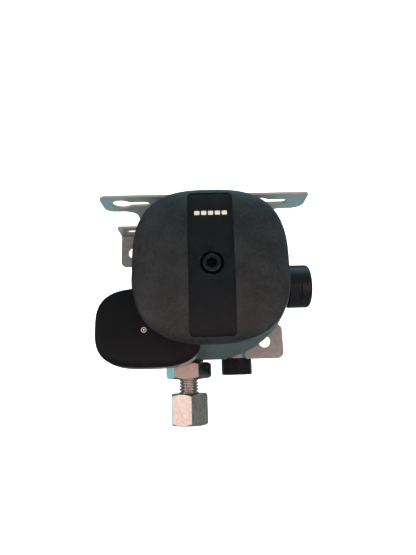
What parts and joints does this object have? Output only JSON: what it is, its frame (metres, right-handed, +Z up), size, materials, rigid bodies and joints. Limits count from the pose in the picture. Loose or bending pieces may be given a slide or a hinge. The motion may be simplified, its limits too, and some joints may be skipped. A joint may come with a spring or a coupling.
{
  "type": "gas pressure regulator",
  "caption": "Wall-mounted gas pressure regulator: round-square cover over a diaphragm housing, crash sensor pod, inlet, outlet fitting and test port on a bent steel bracket.",
  "frame": {"origin": "on the rear face of the bracket's back plate, level with the regulator's own axis", "axes": "+Y into the wall, -Y out of the round cover, +X towards the gas inlet, +Z up, away from the outlet"},
  "size_m": [0.126, 0.0972, 0.1323],
  "materials": {
    "galvanised_sheet": "galvanised steel sheet, grey and slightly mottled",
    "die_cast_alloy": "die-cast alloy, satin grey",
    "cover_plastic": "black moulded plastic with a fine grain",
    "pod_plastic": "smooth satin black moulded plastic",
    "black_plastic": "semi-gloss black moulded plastic",
    "black_steel": "black-oxide steel, slightly oiled",
    "brass": "turned brass",
    "sintered_bronze": "sintered bronze granules",
    "spring_steel": "bright spring and bearing steel",
    "rubber": "black nitrile rubber",
    "zinc_steel": "zinc-plated steel",
    "bright_zinc": "bright zinc-plated steel",
    "button_plastic": "green moulded plastic"
  },
  "bodies": {
    "regulator": {"adjuster_cap": "black_plastic", "bonnet_casing": "die_cast_alloy", "bracket_screw_1": "zinc_steel", "bracket_screw_2": "zinc_steel", "bracket_screw_3": "zinc_steel", "bracket_screw_4": "zinc_steel", "bracket_spacer_1": "zinc_steel", "bracket_spacer_2": "zinc_steel", "bracket_spacer_3": "zinc_steel", "bracket_spacer_4": "zinc_steel", "button_seat": "brass", "casing_screw_1": "zinc_steel", "casing_screw_2": "zinc_steel", "casing_screw_3": "zinc_steel", "casing_screw_4": "zinc_steel", "cover_screw": "black_steel", "diaphragm": "rubber", "gas_filter": "sintered_bronze", "inlet_nipple": "brass", "inlet_seal": "rubber", "lever_pin": "spring_steel", "lower_casing": "die_cast_alloy", "main_cover": "cover_plastic", "outlet_adaptor": "zinc_steel", "outlet_washer": "rubber", "reset_spring": "spring_steel", "sensor_body": "die_cast_alloy", "sensor_cover": "pod_plastic", "sensor_cup": "brass", "sensor_screw_1": "zinc_steel", "sensor_screw_2": "zinc_steel", "setting_spring": "spring_steel", "shutoff_spring": "spring_steel", "spring_adjuster": "brass", "test_nipple": "brass", "vent_plug": "black_plastic", "wall_bracket": "galvanised_sheet"},
    "diaphragm_stack": {"diaphragm_front_plate": "zinc_steel", "diaphragm_rear_plate": "zinc_steel", "diaphragm_stem": "brass", "stem_nut": "brass"},
    "lever": {"valve_lever": "zinc_steel"},
    "plunger": {"valve_plunger": "brass", "valve_pad": "rubber"},
    "inlet_plug": {"inlet_cap": "black_plastic"},
    "ring": {"cutting_ring": "brass"},
    "nut": {"union_nut": "bright_zinc"},
    "test_washer": {"test_cap_washer": "rubber"},
    "test_cap": {"test_port_cap": "black_plastic"},
    "button": {"reset_button": "button_plastic"},
    "ball": {"sensor_ball": "spring_steel"},
    "slide": {"shutoff_slide": "brass"}
  },
  "joints": [
    {"name": "diaphragm_travel", "type": "slide", "parent": "regulator", "child": "diaphragm_stack", "axis": [0, -1, 0], "range_m": [0, 0.0025], "stiffness_N_per_m": 400, "deforming": ["setting_spring", "diaphragm"]},
    {"name": "lever_swing", "type": "hinge", "parent": "regulator", "child": "lever", "pos_m": [0.017, -0.038, -0.0031], "axis": [0, 0, 1], "range_deg": [0, 8.6]},
    {"name": "plunger_slide", "type": "slide", "parent": "regulator", "child": "plunger", "axis": [1, 0, 0], "range_m": [0, 0.00075]},
    {"name": "inlet_cap_off", "type": "slide", "parent": "regulator", "child": "inlet_plug", "axis": [1, 0, 0], "range_m": [0, 0.02]},
    {"name": "ring_travel", "type": "slide", "parent": "regulator", "child": "ring", "axis": [0, 0, 1], "range_m": [0, 0.00526]},
    {"name": "nut_turn", "type": "hinge", "parent": "ring", "child": "nut", "pos_m": [-0.0148, -0.0405, -0.0666], "axis": [0, 0, 1], "range_deg": [0, 1080]},
    {"name": "washer_travel", "type": "slide", "parent": "regulator", "child": "test_washer", "axis": [0, 0, -1], "range_m": [0, 0.0101]},
    {"name": "test_cap_turn", "type": "hinge", "parent": "test_washer", "child": "test_cap", "pos_m": [0.0146, -0.04, -0.0472], "axis": [0, 0, -1], "range_deg": [0, 2880]},
    {"name": "reset_press", "type": "slide", "parent": "regulator", "child": "button", "axis": [1, 0, 0], "range_m": [0, 0.0018], "stiffness_N_per_m": 600, "deforming": ["reset_spring"]},
    {"name": "ball_shift", "type": "slide", "parent": "regulator", "child": "ball", "axis": [0, 0, 1], "range_m": [0, 0.002]},
    {"name": "shutoff_close", "type": "slide", "parent": "regulator", "child": "slide", "axis": [1, 0, 0], "range_m": [0, 0.0025], "deforming": ["shutoff_spring"]}
  ],
  "couplings": [
    {"joint": "lever_swing", "follows": "diaphragm_travel", "rad_per_m": 58.824},
    {"joint": "plunger_slide", "follows": "diaphragm_travel", "ratio": 0.29412},
    {"joint": "ring_travel", "follows": "nut_turn", "m_per_rad": 0.00027852},
    {"joint": "washer_travel", "follows": "test_cap_turn", "m_per_rad": 0.00019894}
  ]
}
